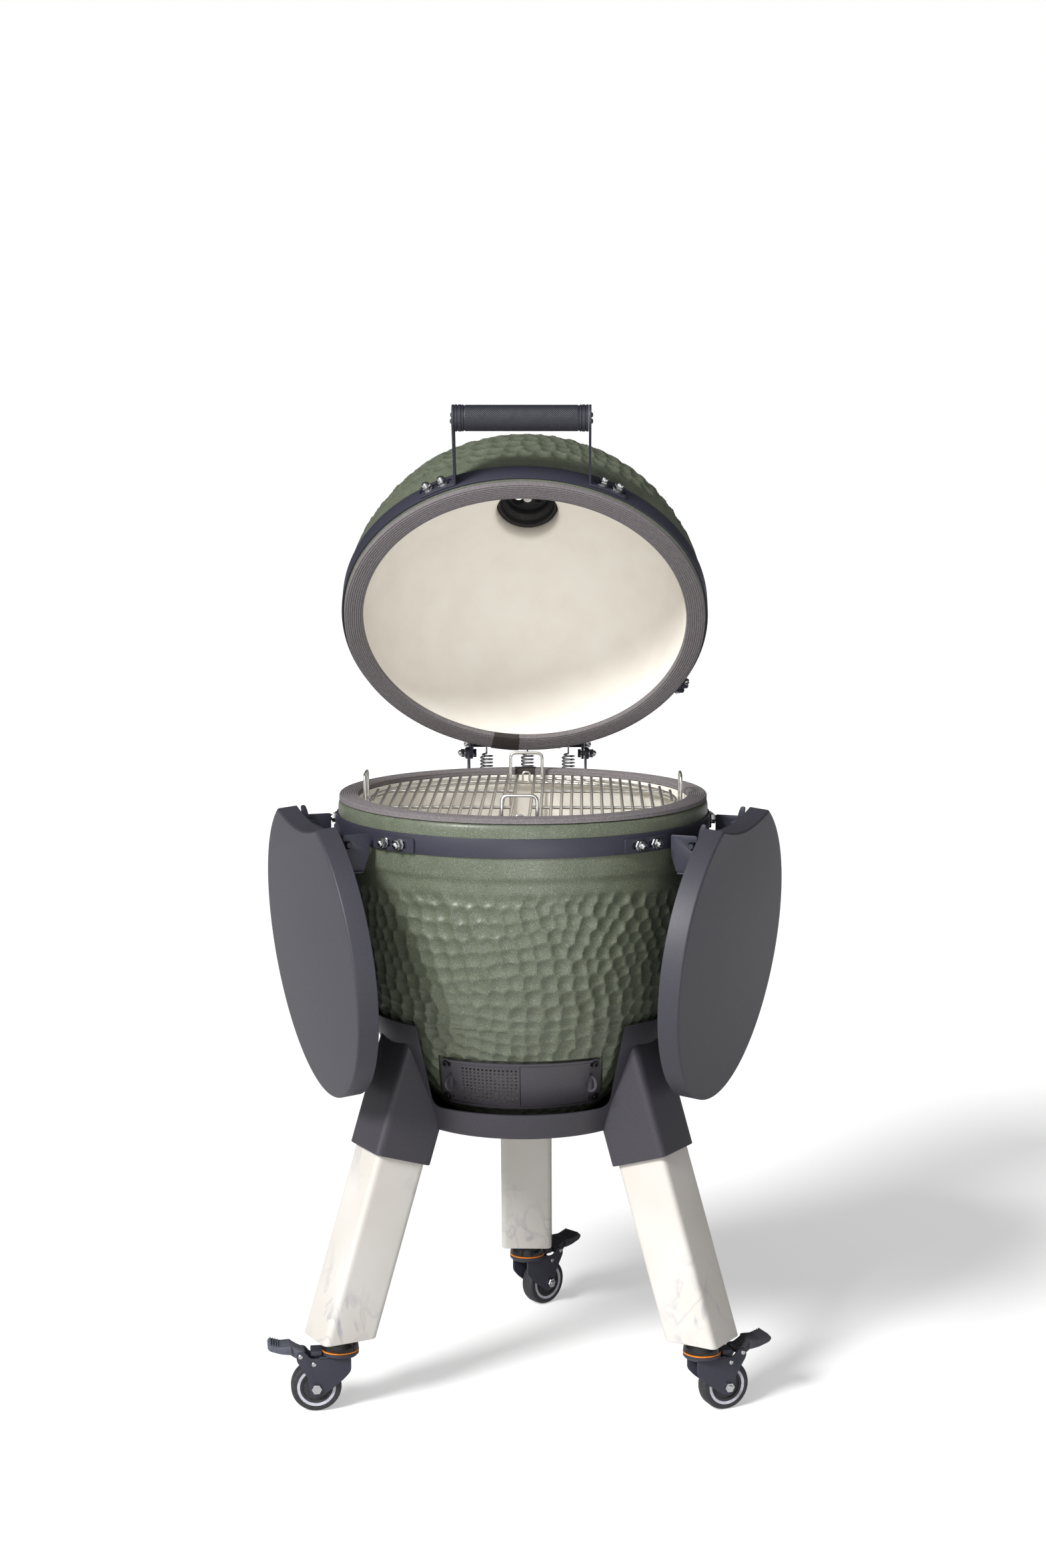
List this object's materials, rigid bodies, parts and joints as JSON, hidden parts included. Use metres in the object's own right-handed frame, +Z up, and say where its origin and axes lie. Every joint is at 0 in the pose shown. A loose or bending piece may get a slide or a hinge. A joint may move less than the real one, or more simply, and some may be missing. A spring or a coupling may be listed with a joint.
{
  "type": "kamado charcoal grill",
  "caption": "Egg-shaped ceramic charcoal grill with a raised dome lid, folding side shelves and half-moon grates, on a marble-look stand with locking casters.",
  "frame": {"origin": "middle of the bounding box's footprint, on the floor", "axes": "+Z up, -Y towards the cook and the draft vent, +Y towards the lid hinge, +X to the cook's right"},
  "size_m": [0.7624, 0.7098, 1.4237],
  "materials": {
    "glaze": "gloss",
    "ceramic": "matte",
    "felt": "matte",
    "black_steel": "satin",
    "anthracite": "satin",
    "stainless": "satin",
    "iron": "matte",
    "marble_print": "satin",
    "tread": "matte",
    "grip_black": "matte"
  },
  "bodies": {
    "base": {"bowl_shell": "glaze", "bowl_gasket": "felt", "bowl_band": "black_steel", "bowl_band_bolt": "stainless", "hinge_base": "black_steel", "hinge_bolt_left": "stainless", "hinge_bolt_right": "stainless", "spring_left": "stainless", "spring_middle": "stainless", "spring_right": "stainless", "fire_box": "ceramic", "fire_ring": "ceramic", "charcoal_grate": "iron", "rack_frame": "stainless", "vent_frame": "anthracite", "shelf_bracket_left_front": "black_steel", "shelf_bracket_left_rear": "black_steel", "shelf_bracket_right_front": "black_steel", "shelf_bracket_right_rear": "black_steel", "stand_cradle": "anthracite", "leg_front_left": "marble_print", "leg_front_right": "marble_print", "leg_rear": "marble_print", "caster_race_front_left": "black_steel", "caster_race_front_right": "black_steel", "caster_race_rear": "black_steel"},
    "lid": {"lid_shell": "glaze", "lid_gasket": "felt", "lid_band": "black_steel", "lid_band_bolt": "stainless", "vent_collar": "iron", "vent_bolt": "stainless", "handle_grip": "grip_black", "handle_bracket_left": "black_steel", "handle_bracket_right": "black_steel", "handle_cap_left": "black_steel", "handle_cap_right": "black_steel", "hinge_lid": "black_steel"},
    "vent_cap": {"vent_cap": "iron"},
    "shelf_left": {"shelf_left": "anthracite", "shelf_hanger_left": "black_steel"},
    "shelf_right": {"shelf_right": "anthracite", "shelf_hanger_right": "black_steel"},
    "vent_screen": {"vent_screen": "anthracite"},
    "vent_door": {"vent_door": "anthracite"},
    "grate_left": {"grate_left": "stainless"},
    "grate_right": {"grate_right": "stainless"},
    "caster_front_left": {"caster_fork_front_left": "black_steel", "caster_axle_front_left": "stainless"},
    "wheel_front_left": {"caster_wheel_front_left": "tread"},
    "pedal_front_left": {"caster_pedal_front_left": "anthracite"},
    "caster_front_right": {"caster_fork_front_right": "black_steel", "caster_axle_front_right": "stainless"},
    "wheel_front_right": {"caster_wheel_front_right": "tread"},
    "pedal_front_right": {"caster_pedal_front_right": "anthracite"},
    "caster_rear": {"caster_fork_rear": "black_steel", "caster_axle_rear": "stainless"},
    "wheel_rear": {"caster_wheel_rear": "tread"},
    "pedal_rear": {"caster_pedal_rear": "anthracite"}
  },
  "joints": [
    {"name": "lid_hinge", "type": "hinge", "parent": "base", "child": "lid", "pos_m": [0, 0.25772, 0.89], "axis": [-1, 0, 0], "range_deg": [-52, 0], "stiffness_Nm_per_rad": 58, "springref_deg": 15.47, "deforming": ["spring_left", "spring_middle", "spring_right"]},
    {"name": "vent_cap_turn", "type": "hinge", "parent": "lid", "child": "vent_cap", "pos_m": [0, 0.30307, 1.28837], "axis": [0, 0.788, 0.6157], "range_deg": [0, 60]},
    {"name": "vent_screen_slide", "type": "hinge", "parent": "base", "child": "vent_screen", "pos_m": [0, -0.02828, 0.4735], "axis": [0, 0, 1], "range_deg": [0, 31]},
    {"name": "vent_door_slide", "type": "hinge", "parent": "base", "child": "vent_door", "pos_m": [0, -0.02828, 0.4735], "axis": [0, 0, 1], "range_deg": [-31, 0]},
    {"name": "grate_left_lift", "type": "slide", "parent": "base", "child": "grate_left", "axis": [0, 0, 1], "range_m": [0, 0.05]},
    {"name": "grate_right_lift", "type": "slide", "parent": "base", "child": "grate_right", "axis": [0, 0, 1], "range_m": [0, 0.05]},
    {"name": "shelf_left_fold", "type": "hinge", "parent": "base", "child": "shelf_left", "pos_m": [-0.2707, -0.12949, 0.824], "axis": [-0.3502, 0.9367, 0], "range_deg": [0, 96]},
    {"name": "shelf_right_fold", "type": "hinge", "parent": "base", "child": "shelf_right", "pos_m": [0.2707, -0.12949, 0.824], "axis": [-0.3502, -0.9367, 0], "range_deg": [0, 96]},
    {"name": "swivel_front_left", "type": "hinge", "parent": "base", "child": "caster_front_left", "pos_m": [-0.25808, -0.17728, 0.088], "axis": [0, 0, 1], "continuous": true},
    {"name": "wheel_front_left_turn", "type": "hinge", "parent": "caster_front_left", "child": "wheel_front_left", "pos_m": [-0.29224, -0.18208, 0.036], "axis": [-0.1392, 0.9903, 0], "continuous": true},
    {"name": "pedal_front_left_press", "type": "hinge", "parent": "caster_front_left", "child": "pedal_front_left", "pos_m": [-0.31452, -0.18521, 0.084], "axis": [-0.1392, 0.9903, 0], "range_deg": [-12, 0]},
    {"name": "swivel_front_right", "type": "hinge", "parent": "base", "child": "caster_front_right", "pos_m": [0.25808, -0.17728, 0.088], "axis": [0, 0, 1], "continuous": true},
    {"name": "wheel_front_right_turn", "type": "hinge", "parent": "caster_front_right", "child": "wheel_front_right", "pos_m": [0.28934, -0.1627, 0.036], "axis": [0.4226, -0.9063, 0], "continuous": true},
    {"name": "pedal_front_right_press", "type": "hinge", "parent": "caster_front_right", "child": "pedal_front_right", "pos_m": [0.30973, -0.15319, 0.084], "axis": [0.4226, -0.9063, 0], "range_deg": [-12, 0]},
    {"name": "swivel_rear", "type": "hinge", "parent": "base", "child": "caster_rear", "pos_m": [0, 0.26972, 0.088], "axis": [0, 0, 1], "continuous": true},
    {"name": "wheel_rear_turn", "type": "hinge", "parent": "caster_rear", "child": "wheel_rear", "pos_m": [0.0244, 0.29411, 0.036], "axis": [0.7071, -0.7071, 0], "continuous": true},
    {"name": "pedal_rear_press", "type": "hinge", "parent": "caster_rear", "child": "pedal_rear", "pos_m": [0.04031, 0.31002, 0.084], "axis": [0.7071, -0.7071, 0], "range_deg": [-12, 0]}
  ]
}
